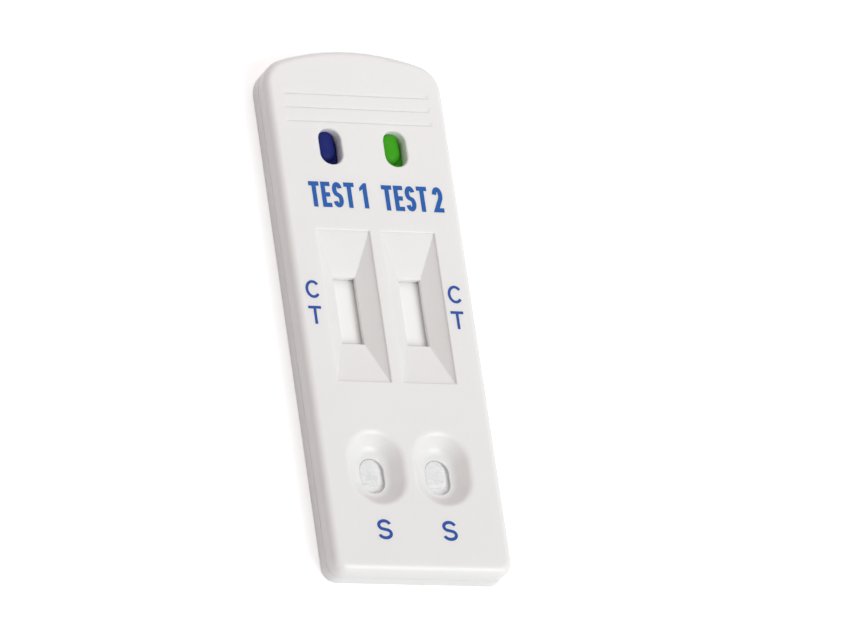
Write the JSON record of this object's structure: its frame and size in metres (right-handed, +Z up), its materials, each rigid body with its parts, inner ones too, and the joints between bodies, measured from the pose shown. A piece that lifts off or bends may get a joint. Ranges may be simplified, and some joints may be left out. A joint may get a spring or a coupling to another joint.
{
  "type": "lateral flow cassette",
  "caption": "Flat white moulded lateral flow cassette with a rounded head, bevelled reading windows, sample wells and colour-code holes over layered test strips.",
  "frame": {"origin": "centre of the flat underside", "axes": "+X to the right strip, +Y to the rounded head, +Z up through the top face"},
  "size_m": [0.028, 0.082, 0.005],
  "materials": {
    "housing": "glossy white injection-moulded polystyrene",
    "backing_card": "smooth white plastic card",
    "membrane": "matt white porous membrane",
    "conjugate_pad": "dry dyed glass-fibre pad",
    "sample_pad": "white fibrous cellulose pad",
    "absorbent_pad": "thick white blotting pad",
    "tape_blue": "navy blue printed tape",
    "tape_green": "bright green printed tape"
  },
  "bodies": {
    "root": {"top_housing": "housing", "bottom_housing": "housing", "backing_card_left": "backing_card", "membrane_left": "membrane", "conjugate_pad_left": "conjugate_pad", "sample_pad_left": "sample_pad", "absorbent_pad_left": "absorbent_pad", "backing_card_right": "backing_card", "membrane_right": "membrane", "conjugate_pad_right": "conjugate_pad", "sample_pad_right": "sample_pad", "absorbent_pad_right": "absorbent_pad", "colour_tape_left": "tape_blue", "colour_tape_right": "tape_green"}
  },
  "joints": []
}
